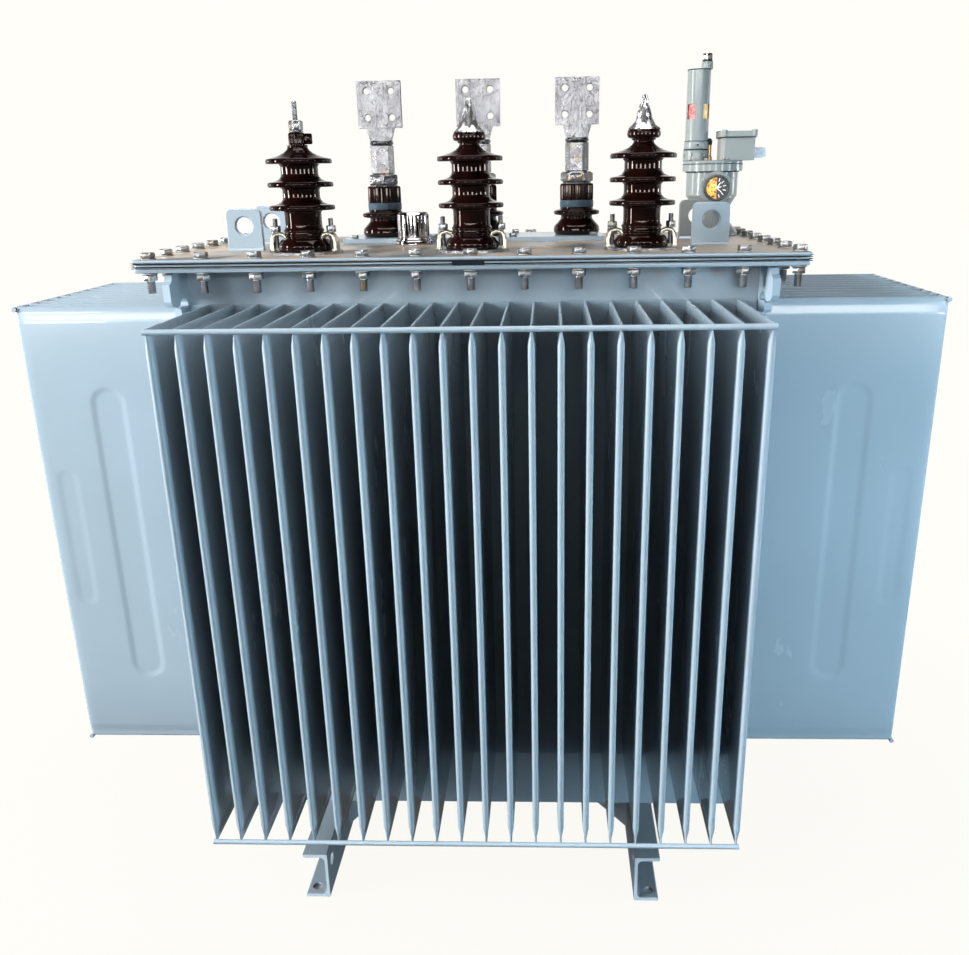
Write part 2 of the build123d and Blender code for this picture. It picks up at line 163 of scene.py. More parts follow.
def blend_shaders(tree, fac, first, second):
    mix = tree.nodes.new("ShaderNodeMixShader")
    tree.links.new(fac, mix.inputs[0])
    tree.links.new(first, mix.inputs[1])
    tree.links.new(second, mix.inputs[2])
    return mix.outputs[0]


def background_world():
    world = bpy.data.worlds.new("world")
    world.use_nodes = True
    tree = world.node_tree
    tree.nodes.clear()
    out = tree.nodes.new("ShaderNodeOutputWorld")
    coord = tree.nodes.new("ShaderNodeTexCoord").outputs["Generated"]

    def ground(colour, strength=None):
        n = tree.nodes.new("ShaderNodeBackground")
        n.inputs[0].default_value = colour
        if strength is not None:
            tree.links.new(strength, n.inputs[1])
        return n.outputs[0]

    dim_room = ground((0.90, 0.95, 1.0, 1), seen_in_gloss(tree, coord, low=-0.1, high=1.1, dim=0.012))
    mirrored = ground(WHITE, seen_in_gloss(tree, coord, low=-0.1, high=0.55, dim=0.07, lid=(0.22, 0.5)))
    clear = ground(WHITE)
    camera, gloss = ray_mask(tree)
    inner = blend_shaders(tree, gloss, dim_room, mirrored)
    tree.links.new(blend_shaders(tree, camera, inner, clear), out.inputs[0])
    scene.world = world


background_world()
scene.view_settings.view_transform = "Standard"


# white ground that takes a faint shadow close to the object; right under the skids it turns into a grey
# matte, painted shade that also takes the real shadow there
FLOOR_HALF = 30
SHADOW_NEAR, SHADOW_FAR, SHADOW_MOST = 0.9, 1.8, 0.05
FOOT_SHADE, FOOT_INSET = 0.97, 0.003


def floor_plane():
    mesh = bpy.data.meshes.new("floor")
    corners = [(x * FLOOR_HALF, y * FLOOR_HALF, 0) for x, y in ((-1, -1), (1, -1), (1, 1), (-1, 1))]
    mesh.from_pydata(corners, [], [(0, 1, 2, 3)])
    floor = bpy.data.objects.new("floor", mesh)
    scene.collection.objects.link(floor)
    mat = bpy.data.materials.new("floor")
    mat.use_nodes = True
    tree = mat.node_tree
    tree.nodes.clear()
    out = tree.nodes.new("ShaderNodeOutputMaterial")
    place = tree.nodes.new("ShaderNodeNewGeometry").outputs["Position"]

    def glow(strength=None):
        n = tree.nodes.new("ShaderNodeEmission")
        n.inputs[0].default_value = WHITE
        if strength is not None:
            tree.links.new(strength, n.inputs[1])
        return n.outputs[0]

    def matte(colour):
        n = tree.nodes.new("ShaderNodeBsdfDiffuse")
        n.inputs[0].default_value = colour
        return n.outputs[0]

    reach = tree.nodes.new("ShaderNodeVectorMath")
    reach.operation = "LENGTH"
    tree.links.new(place, reach.inputs[0])
    near = tree.nodes.new("ShaderNodeMapRange")
    near.inputs["From Min"].default_value = SHADOW_NEAR
    near.inputs["From Max"].default_value = SHADOW_FAR
    near.inputs["To Min"].default_value = SHADOW_MOST
    near.inputs["To Max"].default_value = 0.0
    tree.links.new(reach.outputs["Value"], near.inputs["Value"])
    split = tree.nodes.new("ShaderNodeSeparateXYZ")
    tree.links.new(place, split.inputs[0])

    def sums(operation, a, b):
        n = tree.nodes.new("ShaderNodeMath")
        n.operation = operation
        for i, value in enumerate((a, b)):
            if isinstance(value, float):
                n.inputs[i].default_value = value
            else:
                tree.links.new(value, n.inputs[i])
        return n.outputs[0]

    # grey matte patch under the skids' footprints: painted shade
    feet = [c for name in ("left_skid", "right_skid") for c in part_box(name)]
    inner, outer = min(abs(c.x) for c in feet), max(abs(c.x) for c in feet)
    aside = sums("SUBTRACT", sums("ABSOLUTE", split.outputs["X"], 0.0), (inner + outer) / 2)
    across = sums("LESS_THAN", sums("ABSOLUTE", aside, 0.0), (outer - inner) / 2 - FOOT_INSET)
    along = sums("LESS_THAN", sums("ABSOLUTE", split.outputs["Y"], 0.0), feet[1].y - FOOT_INSET)
    under = sums("MULTIPLY", sums("MULTIPLY", across, along), FOOT_SHADE)
    dark = sums("MAXIMUM", near.outputs[0], under)
    seen = blend_shaders(tree, dark, glow(), matte((0.3, 0.3, 0.3, 1)))
    mirrored = glow(seen_in_gloss(tree, place, low=0.2, high=1.6, dim=0.10))
    camera, gloss = ray_mask(tree)
    other = blend_shaders(tree, gloss, matte((0.045, 0.053, 0.06, 1)), mirrored)
    tree.links.new(blend_shaders(tree, camera, other, seen), out.inputs[0])
    mesh.materials.append(mat)


floor_plane()


# materials: every finish gets its colour drift, roughness drift and a fine relief from noise
class Tree:
    def __init__(self, name):
        self.mat = bpy.data.materials.new(name)
        self.mat.use_nodes = True
        self.t = self.mat.node_tree
        self.bsdf = self.t.nodes["Principled BSDF"]
        self.coord = self.node("ShaderNodeTexCoord").outputs["Object"]

    def node(self, kind, **values):
        n = self.t.nodes.new(kind)
        for k, v in values.items():
            setattr(n, k, v)
        return n

    def link(self, a, b):
        self.t.links.new(a, b)

    def noise(self, scale, detail=3.0, rough=0.5, stretch=None):
        n = self.node("ShaderNodeTexNoise")
        n.inputs["Scale"].default_value = scale
        n.inputs["Detail"].default_value = detail
        n.inputs["Roughness"].default_value = rough
        source = self.coord
        if stretch:
            m = self.node("ShaderNodeMapping")
            m.inputs["Scale"].default_value = stretch
            self.link(source, m.inputs["Vector"])
            source = m.outputs[0]
        self.link(source, n.inputs["Vector"])
        return n.outputs[0]

    def ramp(self, fac, stops):
        r = self.node("ShaderNodeValToRGB")
        while len(r.color_ramp.elements) < len(stops):
            r.color_ramp.elements.new(0.5)
        for e, (pos, col) in zip(r.color_ramp.elements, stops):
            e.position = pos
            e.color = tuple(col) + (1,) if len(col) == 3 else col
        self.link(fac, r.inputs[0])
        return r.outputs[0]

    def spread(self, fac, low, high):
        m = self.node("ShaderNodeMapRange")
        m.inputs["To Min"].default_value = low
        m.inputs["To Max"].default_value = high
        self.link(fac, m.inputs["Value"])
        return m.outputs[0]

    def relief(self, height, strength, distance):
        b = self.node("ShaderNodeBump")
        b.inputs["Strength"].default_value = strength
        b.inputs["Distance"].default_value = distance
        self.link(height, b.inputs["Height"])
        return b
    # the fine orange peel of a sprayed finish
    def peel(self):
        return self.relief(self.noise(420, 2), 0.04, 0.0004)
    def set(self, **values):
        for k, v in values.items():
            self.bsdf.inputs[k.replace("_", " ")].default_value = v


def shade(col, k):
    return tuple(min(1, c * k) for c in col)


def paint(name, col, rough=0.30, drift=0.06, coat=0.5, edge=0.0012):
    t = Tree(name)
    broad = t.noise(2.2, 4)
    t.link(t.ramp(broad, [(0.3, shade(col, 1 - drift)), (0.7, shade(col, 1 + drift))]),
           t.bsdf.inputs["Base Color"])
    smear = t.noise(9.0, 5, 0.6, (1, 1, 0.35))
    t.link(t.spread(smear, rough * 0.75, rough * 1.35), t.bsdf.inputs["Roughness"])
    t.set(Specular_IOR_Level=0.5, Coat_Weight=coat, Coat_Roughness=0.07)
    peel = t.peel()
    wave = t.relief(t.noise(5.0, 2), 0.07, 0.004)
    t.link(peel.outputs[0], wave.inputs["Normal"])
    if edge:
        rounded = t.node("ShaderNodeBevel", samples=3)
        rounded.inputs["Radius"].default_value = edge
        t.link(rounded.outputs[0], peel.inputs["Normal"])
    t.link(wave.outputs[0], t.bsdf.inputs["Normal"])
    return t.mat


# enamel with another tone on the faces that look along one axis; on the skids' end faces that tone is a
# painted highlight
def facing_tone(name, col, stops, axis, rough, gloss, tint):
    t = Tree(name)
    split = t.node("ShaderNodeSeparateXYZ")
    t.link(t.node("ShaderNodeNewGeometry").outputs["Normal"], split.inputs[0])
    toward = t.node("ShaderNodeMath", operation="ABSOLUTE")
    t.link(split.outputs[axis], toward.inputs[0])
    level = t.spread(toward.outputs[0], 0.0, 1.0)
    level.node.inputs["From Min"].default_value = 0.90
    level.node.inputs["From Max"].default_value = 0.99
    overlay = t.ramp(t.noise(9.0, 4, 0.55, (1, 0.45, 1)), stops)
    mix = t.node("ShaderNodeMix", data_type="RGBA")
    mix.inputs[6].default_value = (*col, 1)
    t.link(level, mix.inputs[0])
    t.link(overlay, mix.inputs[7])
    t.link(mix.outputs[2], t.bsdf.inputs["Base Color"])
    t.link(t.spread(t.noise(14, 4), *rough), t.bsdf.inputs["Roughness"])
    t.set(Specular_IOR_Level=gloss, Specular_Tint=tint)
    t.link(t.peel().outputs[0], t.bsdf.inputs["Normal"])
    return t.mat


def glaze(name, col, rough=0.04, ripple=0.10):
    t = Tree(name)
    t.link(t.ramp(t.noise(30, 4), [(0.3, shade(col, 0.6)), (0.7, shade(col, 1.4))]),
           t.bsdf.inputs["Base Color"])
    t.link(t.spread(t.noise(60, 3), rough * 0.6, rough * 1.6), t.bsdf.inputs["Roughness"])
    t.set(Specular_IOR_Level=0.30, Specular_Tint=(1.0, 0.86, 0.78, 1))
    t.link(t.relief(t.noise(70, 2), ripple, 0.0012).outputs[0], t.bsdf.inputs["Normal"])
    return t.mat


def metal(name, stops, rough=0.3, scale=60.0, relief=0.15, stretch=None, edge=0.0, fold=0.0):
    t = Tree(name)
    t.link(t.ramp(t.noise(scale, 4), stops), t.bsdf.inputs["Base Color"])
    t.link(t.spread(t.noise(scale * 2.3, 4, 0.6, stretch), rough * 0.6, rough * 1.5),
           t.bsdf.inputs["Roughness"])
    t.set(Metallic=1.0)
    bump = t.relief(t.noise(scale * 5, 3, 0.6, stretch), relief, 0.0006)
    if edge:
        rounded = t.node("ShaderNodeBevel", samples=3)
        rounded.inputs["Radius"].default_value = edge
        t.link(rounded.outputs[0], bump.inputs["Normal"])
    last = bump
    if fold:
        last = t.relief(t.noise(26, 5, 0.65, (1, 1, 0.55)), fold, 0.006)
        t.link(bump.outputs[0], last.inputs["Normal"])
    t.link(last.outputs[0], t.bsdf.inputs["Normal"])
    return t.mat


def moulded(name, col, rough=0.5, gloss=0.5, relief=0.12):
    t = Tree(name)
    t.link(t.ramp(t.noise(40, 4), [(0.3, shade(col, 0.85)), (0.7, shade(col, 1.15))]),
           t.bsdf.inputs["Base Color"])
    t.link(t.spread(t.noise(90, 3), rough * 0.75, rough * 1.3), t.bsdf.inputs["Roughness"])
    t.set(Specular_IOR_Level=gloss)
    t.link(t.relief(t.noise(600, 2), relief, 0.0003).outputs[0], t.bsdf.inputs["Normal"])
    return t.mat


# enamel or coloured plastic with scuffed patches
def mottled(name, stops, scale, rough=0.3):
    t = Tree(name)
    t.link(t.ramp(t.noise(scale, 4, 0.7), stops), t.bsdf.inputs["Base Color"])
    t.link(t.spread(t.noise(90, 3), rough * 0.75, rough * 1.3), t.bsdf.inputs["Roughness"])
    t.link(t.relief(t.noise(500, 2), 0.1, 0.0003).outputs[0], t.bsdf.inputs["Normal"])
    return t.mat


ZINC = [(0.30, (0.40, 0.33, 0.22)), (0.42, (0.30, 0.31, 0.32)), (0.70, (0.46, 0.47, 0.48))]
TIN = [(0.3, (0.22, 0.22, 0.235)), (0.7, (0.40, 0.40, 0.415))]
CHROME = [(0.3, (0.50, 0.46, 0.47)), (0.7, (0.66, 0.64, 0.65))]
SLEEVE = [(0.30, (0.30, 0.24, 0.17)), (0.42, (0.22, 0.22, 0.23)), (0.7, (0.38, 0.38, 0.40))]
SCUFFED_YELLOW = [(0.40, (0.05, 0.03, 0.01)), (0.47, (0.62, 0.24, 0.04)), (0.60, (0.85, 0.55, 0.10))]
END_FACE_HIGHLIGHT = [(0.35, (0.36, 0.42, 0.47)), (0.65, (0.44, 0.51, 0.56))]
UP_DOWN_FACE_PATCHES = [(0.36, (0.08, 0.076, 0.07)), (0.47, (0.19, 0.175, 0.155)), (0.56, (0.27, 0.195, 0.125)),
                (0.66, (0.28, 0.28, 0.28))]
M = {
    "tank_paint": paint("tank_paint", (0.225, 0.288, 0.335), 0.30),
    "fin_paint": paint("fin_paint", (0.225, 0.288, 0.335), 0.24, 0.06, 0.6, 0.0055),
    "wall_paint": paint("wall_paint", (0.21, 0.290, 0.350), 0.6, 0.06, 0.0),
    # darker copy of the tank paint for the rear right lug: painted shade
    "shaded_lug_paint": paint("shaded_lug_paint", (0.105, 0.108, 0.102), 0.45, 0.06, 0.0),
    # the gasket frame's paint is lighter than the tank's as a painted highlight
    "frame_paint": paint("frame_paint", (0.40, 0.48, 0.53), 0.22),
    "relay_paint": paint("relay_paint", (0.145, 0.164, 0.160), 0.30, 0.05, 0.3, 0.0015),
    # the skids' faces that look along Y get a lighter tone: painted highlight
    "skid_paint": facing_tone("skid_paint", (0.13, 0.163, 0.19), END_FACE_HIGHLIGHT, "Y", (0.22, 0.40), 0.5,
                           (1, 1, 1, 1)),
    # the cover's faces that look up or down get dark, brown and grey patches
    "cover_paint": facing_tone("cover_paint", (0.22, 0.275, 0.32), UP_DOWN_FACE_PATCHES, "Z", (0.20, 0.42), 0.22,
                            (1.0, 0.93, 0.84, 1)),
    "brown_glaze": glaze("brown_glaze", (0.0055, 0.0016, 0.0013)),
    "brown_cap": glaze("brown_cap", (0.0070, 0.0022, 0.0018), 0.10, 0.16),
    "zinc": metal("zinc", ZINC, 0.32, 45, 0.03),
    "sleeve_zinc": metal("sleeve_zinc", SLEEVE, 0.28, 34, 0.10, fold=0.9),
    "cream_zinc": metal("cream_zinc", [(0.32, (0.42, 0.39, 0.29)), (0.60, (0.55, 0.53, 0.44))], 0.30, 50,
                        0.08),
    "tinned": metal("tinned", TIN, 0.32, 30, 0.25, (1, 1, 0.2), 0.0008, 1.6),
    "foil": metal("foil", [(0.3, (0.42, 0.42, 0.44)), (0.7, (0.74, 0.74, 0.74))], 0.30, 70, 0.12,
                  fold=0.5),
    "bright_chrome": metal("bright_chrome", CHROME, 0.07, 20, 0.005),
    # dark metal of the dish rings under the tongues: painted shade
    "dish_shade_metal": metal("dish_shade_metal", [(0.3, (0.05, 0.055, 0.06)), (0.7, (0.16, 0.17, 0.18))], 0.25, 60),
    "brass": metal("brass", [(0.3, (0.35, 0.20, 0.08)), (0.7, (0.60, 0.38, 0.16))], 0.3, 60),
    "band_rubber": moulded("band_rubber", (0.022, 0.040, 0.056), 0.5, 0.3),
    "dark_rubber": moulded("dark_rubber", (0.006, 0.012, 0.018), 0.6, 0.25),
    "gland_plastic": moulded("gland_plastic", (0.50, 0.54, 0.60), 0.4, 0.5),
    "dial_face": moulded("dial_face", (0.008, 0.008, 0.009), 0.2, 0.6),
    "dial_white": moulded("dial_white", (0.85, 0.85, 0.85), 0.25, 0.5),
    "dial_yellow": mottled("dial_yellow", SCUFFED_YELLOW, 130),
    "indicator_red": mottled("indicator_red", [(0.40, (0.42, 0.03, 0.03)), (0.60, (0.50, 0.22, 0.22))],
                             90),
    "amber": mottled("amber", [(0.35, (0.75, 0.36, 0.10)), (0.65, (0.85, 0.62, 0.30))], 70),
}

slot_of = {s["node"]: s["material_slot"] for s in record["subparts"]}
for name, obj in nodes.items():
    obj.data.materials.clear()
    obj.data.materials.append(M[slot_of[name]])


# mesh building: shapes are (vertices, faces), a Bag gathers them into one piece
class Bag:
    def __init__(self):
        self.v = []
        self.f = []

    def add(self, shape, place=None):
        base = len(self.v)
        for p in shape[0]:
            p = Vector(p)
            self.v.append(place @ p if place else p)
        self.f += [tuple(i + base for i in q) for q in shape[1]]
        return self

    def piece(self, name, material, slot=None, sharp=38, replaces=()):
        mesh = bpy.data.meshes.new(name)
        mesh.from_pydata([tuple(c * MM for c in p) for p in self.v], [], self.f)
        mesh.validate()
        shell = bmesh.new()
        shell.from_mesh(mesh)
        bmesh.ops.recalc_face_normals(shell, faces=shell.faces)
        shell.to_mesh(mesh)
        shell.free()
        mesh.polygons.foreach_set("use_smooth", [True] * len(mesh.polygons))
        mesh.set_sharp_from_angle(angle=math.radians(sharp))
        mesh.materials.append(M[material])
        obj = bpy.data.objects.new(name, mesh)
        scene.collection.objects.link(obj)
        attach(obj, "root")
        if replaces:
            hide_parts(*replaces)
        return obj


def at(x, y, z, *turns):
    m = Matrix.Translation((x, y, z))
    for axis, deg in turns:
        m = m @ Matrix.Rotation(math.radians(deg), 4, axis)
    return m


TINY, LEAST_TURN, REACH_SHARE = 1e-9, 0.02, 0.49


# rounds the inner corners of an open or closed run of (x, y, radius) points
def soft(points, steps=4, closed=False):
    out = []
    n = len(points)
    for i, p in enumerate(points):
        r = p[2] if len(p) > 2 else 0
        a, b, c = points[i - 1], p, points[(i + 1) % n]
        if r <= 0 or (not closed and i in (0, n - 1)):
            out.append((b[0], b[1]))
            continue
        u = Vector((a[0] - b[0], a[1] - b[1]))
        w = Vector((c[0] - b[0], c[1] - b[1]))
        lu, lw = u.length, w.length
        if lu < TINY or lw < TINY:
            out.append((b[0], b[1]))
            continue
        u /= lu
        w /= lw
        half = math.acos(max(-1, min(1, u.dot(w)))) / 2
        if half < LEAST_TURN or half > math.pi / 2 - LEAST_TURN:
            out.append((b[0], b[1]))
            continue
        d = min(r / math.tan(half), lu * REACH_SHARE, lw * REACH_SHARE)
        p0 = Vector(b[:2]) + u * d
        p1 = Vector(b[:2]) + w * d
        for k in range(steps + 1):
            s = k / steps
            q = p0 * (1 - s) ** 2 + Vector(b[:2]) * 2 * s * (1 - s) + p1 * s ** 2
            out.append((q.x, q.y))
    return out


def lathe(profile, seg=48, wave=0, depth=0.0, crumple=0.0, seed=0):
    # profile is a run of (radius, height); wave and depth cut flutes; crumple adds folds
    v, f, rows = [], [], []
    for r, z in profile:
        if r < 1e-6:
            rows.append([len(v)])
            v.append((0, 0, z))
            continue
        row = []
        for k in range(seg):
            a = 2 * math.pi * k / seg
            q = r
            if wave:
                q -= depth * (0.5 - 0.5 * math.cos(a * wave))
            if crumple:
                q += crumple * noise.noise(Vector((math.cos(a) * 2.2, math.sin(a) * 2.2, z * 0.09 + seed)))
                q += crumple * 0.6 * noise.noise(Vector((a * 3.0, z * 0.22, seed + 5.0)))
            row.append(len(v))
            v.append((q * math.cos(a), q * math.sin(a), z))
        rows.append(row)
    for a, b in zip(rows, rows[1:]):
        if len(a) == 1 and len(b) == 1:
            continue
        for k in range(seg):
            j = (k + 1) % seg
            if len(a) == 1:
                f.append((a[0], b[j], b[k]))
            elif len(b) == 1:
                f.append((a[k], a[j], b[0]))
            else:
                f.append((a[k], a[j], b[j], b[k]))
    return v, f


def offset(poly, d):
    n = len(poly)
    out = []
    for i in range(n):
        a, b, c = Vector(poly[i - 1][:2]), Vector(poly[i][:2]), Vector(poly[(i + 1) % n][:2])
        u = (b - a).normalized()
        w = (c - b).normalized()
        nu, nw = Vector((-u.y, u.x)), Vector((-w.y, w.x))
        m = nu + nw
        k = m.length_squared
        m = nu if k < 1e-6 else m * (2 / k)
        if m.length > 2.5:
            m = m.normalized() * 2.5
        out.append((b.x + m.x * d, b.y + m.y * d))
    return out


# upright prism from a counter-clockwise outline, with its rims broken by a small bevel
def prism(poly, z0, z1, bevel=0.0):
    poly = [(p[0], p[1]) for p in poly]
    n = len(poly)
    rings = [(poly, z0), (poly, z1)]
    if bevel:
        part = bevel * 0.3
        inner, third = offset(poly, bevel), offset(poly, part)
        rings = [(inner, z0), (third, z0 + part), (poly, z0 + bevel), (poly, z1 - bevel),
                 (third, z1 - part), (inner, z1)]
    v = [(x, y, z) for ring, z in rings for x, y in ring]
    f = [tuple(reversed(range(n)))]
    for r in range(len(rings) - 1):
        for k in range(n):
            j = (k + 1) % n
            f.append((r * n + k, r * n + j, (r + 1) * n + j, (r + 1) * n + k))
    f.append(tuple(range((len(rings) - 1) * n, len(rings) * n)))
    return v, f


def rect(hx, hy, r=0.0, steps=4):
    pts = [(hx, -hy, r), (hx, hy, r), (-hx, hy, r), (-hx, -hy, r)]
    return soft(pts, steps, True) if r else [p[:2] for p in pts]


# hexagon head or nut by its width across flats; each corner is cut by two short faces
def hexagon(across, h, bevel=0.8, turn=0.0):
    r = across / math.sqrt(3)
    cut = 0.26
    body = []
    rim = []
    for k in range(6):
        for s in (-cut, 0, cut):
            a = turn + math.pi / 3 * k + s
            x = r if s == 0 else across / 2 / math.cos(math.pi / 6 - cut)
            body.append((x * math.cos(a), x * math.sin(a)))
            q = across / 2 * 0.96
            rim.append((q * math.cos(a), q * math.sin(a)))
    n = len(body)
    drop = bevel * 1.6
    rings = [(rim, 0), (body, drop), (body, h - drop), (rim, h)]
    v = [(x, y, z) for ring, z in rings for x, y in ring]
    f = [tuple(reversed(range(n)))]
    for i in range(3):
        for k in range(n):
            j = (k + 1) % n
            f.append((i * n + k, i * n + j, (i + 1) * n + j, (i + 1) * n + k))
    f.append(tuple(range(3 * n, 4 * n)))
    return v, f


def washer(r, t):
    return lathe(soft([(0, 0), (r, 0, t * 0.4), (r, t, t * 0.4), (0, t)], 2), 28)


def thread(r, z0, z1, pitch=2.0, seg=20):
    core = r - pitch * 0.5
    prof = [(0, z0), (core, z0)]
    z = z0
    while z + pitch <= z1 - 0.5:
        prof += [(r, z + pitch * 0.5), (r - pitch * 0.45, z + pitch)]
        z += pitch
    prof += [(core, z1), (0, z1)]
    return lathe(prof, seg)


# strip swept along a path of points; section is (sideways, up) pairs
def sweep(path, section, up=Vector((0, 0, 1)), closed=False):
    v, f = [], []
    n, m = len(path), len(section)
    for i in range(n):
        a = Vector(path[i - 1] if (i or closed) else path[i])
        b = Vector(path[(i + 1) % n] if (i < n - 1 or closed) else path[i])
        t = (b - a).normalized()
        side = t.cross(up).normalized()
        for s, h in section:
            p = Vector(path[i]) + side * s + up * h
            v.append(tuple(p))
    last = n if closed else n - 1
    for i in range(last):
        j = (i + 1) % n
        for k in range(m - 1):
            f.append((i * m + k, j * m + k, j * m + k + 1, i * m + k + 1))
    if not closed:
        f.append(tuple(range(m - 1, -1, -1)))
        f.append(tuple(range((n - 1) * m, n * m)))
    return v, f


def sheet_box(x0, x1, y0, y1, z0, z1, bevel=1.0):
    return prism([(x0, y0), (x1, y0), (x1, y1), (x0, y1)], z0, z1, bevel)


# a node's box, its middle and the heights that many pieces share, in millimetres
def box_mm(node):
    lo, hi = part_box(node)
    return lo * 1000, hi * 1000


def middle(node):
    lo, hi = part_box(node)
    return (lo + hi) * 500


cover_hi = box_mm("cover_plate")[1]
deck = cover_hi.z
rim_z = box_mm("tank_flange")[0].z
lv_deck = box_mm("lv_plate")[1].z
RIM_CORNER, RIM_STEPS = 10, 6


# flange, gasket frame and cover with rounded rims: material, bevel and how far each face shifts
def rims():
    for name, material, bevel, low, high in (("tank_flange", "tank_paint", 2.6, 1.2, 1.6),
                                             ("gasket_frame", "frame_paint", 2.0, 1.6, 2.0),
                                             ("cover_plate", "cover_paint", 2.2, 2.0, 0)):
        lo, hi = box_mm(name)
        slot = "tank_paint" if material == "cover_paint" else material
        Bag().add(prism(rect(hi.x, hi.y, RIM_CORNER, RIM_STEPS), lo.z + low, hi.z + high, bevel)).piece(
            name + "_rounded", material, slot, replaces=(name,))


rims()


# thin dark seams above and below the gasket frame, and the joint block in front
def seams():
    proud, half, flat, crown, deep = 0.9, 1.8, 1.2, 0.4, 6
    block_left, block_right, block_out, block_in, block_over = -29, 33, 1.3, 4, 0.4
    lo, hi = box_mm("gasket_frame")
    section = [(deep, half), (0, half), (-crown, flat), (-crown, -flat), (0, -half), (deep, -half)]
    bag = Bag()
    for z in (lo.z + 1.6, hi.z + 2.0):
        ring = rect(hi.x + proud, hi.y + proud, RIM_CORNER, RIM_STEPS)
        bag.add(sweep([Vector((x, y, z)) for x, y in ring], section, closed=True))
    bag.piece("gasket_seams", "dark_rubber", "band_rubber")
    Bag().add(sheet_box(block_left, block_right, -hi.y - block_out, -hi.y + block_in,
                        lo.z - block_over, hi.z + block_over, 0.6)).piece(
        "gasket_joint", "dark_rubber", "band_rubber")


seams()


# cover bolts: washer and head on top, washer, nut and threaded end under the flange
def cover_bolts():
    inset, shift, pitch_x, pitch_y = 26, 4, 104.2, 95.4
    across, washer_r, stud_r, stud_out = 24, 15, 8, 24
    head, head_washer, nut, nut_washer, edge = 10, 2.8, 12, 2.6, 0.9
    hx, hy = cover_hi.x - inset, cover_hi.y - inset
    spots = [(shift + pitch_x * i, s * hy) for i in range(-6, 7) for s in (-1, 1)]
    spots += [(s * hx, pitch_y * (i - 3.5)) for i in range(1, 7) for s in (-1, 1)]
    rnd = random.Random(4)
    top, low = Bag(), Bag()
    under = rim_z - nut_washer - nut
    for x, y in spots:
        turn = rnd.uniform(0, math.pi / 3)
        top.add(washer(washer_r, head_washer), at(x, y, deck))
        top.add(hexagon(across, head, edge, turn), at(x, y, deck + head_washer))
        low.add(washer(washer_r, nut_washer), at(x, y, rim_z - nut_washer))
        low.add(hexagon(across, nut, edge, turn + 0.4), at(x, y, under))
        low.add(thread(stud_r, -stud_out, 0), at(x, y, under))
    top.piece("cover_bolt_heads", "zinc")
    low.piece("cover_bolt_nuts", "zinc")


cover_bolts()


def ease(x):
    x = max(0.0, min(1.0, x))
    return x * x * (3 - 2 * x)


# one hollow-pressed fin along -Y: flat-pinched ends, round nose, pans pressed into both faces
def fin_shape(reach, root, base, top, pans=()):
    nose, thin, swell = 6.0, 2.0, 4.0
    flat, first_row, row, taper, straight = 12, 14, 4.2, 23, 0.85
    pan_wall, step, turns = 17, 3.0, 9

    def half(u, z):
        x = (min(z - base, top - z) - flat) / taper
        t = thin + swell * (straight * max(0.0, min(1.0, x)) + (1 - straight) * ease(x))
        for c, low, high, r, deep in pans:
            d = math.hypot(u - c, z - max(low + r, min(high - r, z)))
            t -= deep * ease((r - d) / pan_wall)
        return t

    zs = {base, top, base + flat, top - flat}
    for k in range(6):
        zs |= {base + first_row + row * k, top - first_row - row * k}
    us = {root, reach - nose}
    for c, low, high, r, deep in pans:
        us |= {c - r - 1 + step * k for k in range(int((2 * r + 2) / step) + 2)}
        for k in range(int(r / step) + 2):
            zs |= {low - 1 + step * k, high + 1 - step * k}
    zs = sorted(z for z in zs if base <= z <= top)
    us = sorted(u for u in us if root <= u <= reach - nose)
    v, f = [], []
    for z in zs:
        right = [(half(u, z), -u, z) for u in us]
        t = half(reach - nose, z)
        angles = [math.pi * k / turns for k in range(1, turns)]
        arc = [(t * math.cos(a), nose - reach - nose * math.sin(a), z) for a in angles]
        v += right + arc + [(-x, y, h) for x, y, h in reversed(right)]
    n = len(v) // len(zs)
    for i in range(len(zs) - 1):
        for k in range(n - 1):
            f.append((i * n + k, (i + 1) * n + k, (i + 1) * n + k + 1, i * n + k + 1))
    f.append(tuple(range(n)))
    f.append(tuple(range((len(zs) - 1) * n, len(zs) * n))[::-1])
    return v, f


# pans of the outer fins: distance from the tank wall, lowest and highest point, radius, depth
LONG_SIDE_PANS = ((170, 413, 1112, 42, 1.9),)
SHORT_SIDE_PANS = ((205, 413, 1112, 42, 1.9), (322, 600, 930, 28, 0.9))


def fin_banks():
    hi = box_mm("tank_body")[1]
    sheet, bury = 4, 2
    for bank, count, half_span, turn in (("front", 22, 525, 0), ("rear", 22, 525, 180),
                                         ("right", 11, 235.5, 90), ("left", 11, 235.5, -90)):
        b_lo, b_hi = box_mm(bank + "_fins")
        ends = bank in ("right", "left")
        along, out = ("y", "x") if ends else ("x", "y")
        reach = max(abs(getattr(b_lo, out)), abs(getattr(b_hi, out)))
        wide = max(abs(getattr(b_lo, along)), abs(getattr(b_hi, along)))
        wall = getattr(hi, out)
        pans = [(wall + p[0], *p[1:]) for p in (SHORT_SIDE_PANS if ends else LONG_SIDE_PANS)]
        swing = Matrix.Rotation(math.radians(turn), 4, "Z")
        Bag().add(sheet_box(-wide, wide, -wall - sheet, -wall, b_lo.z, b_hi.z), swing).piece(
            bank + "_root_sheet", "wall_paint", "tank_paint")
        bag = Bag()
        for i in range(count):
            outer = pans if i in (0, count - 1) else ()
            one = fin_shape(reach, wall + bury, b_lo.z, b_hi.z, outer)
            bag.add(one, swing @ at(half_span * (2 * i / (count - 1) - 1), 0, 0))
        bag.piece(bank + "_fin_bank", "fin_paint", "tank_paint", replaces=(bank + "_fins",))


fin_banks()


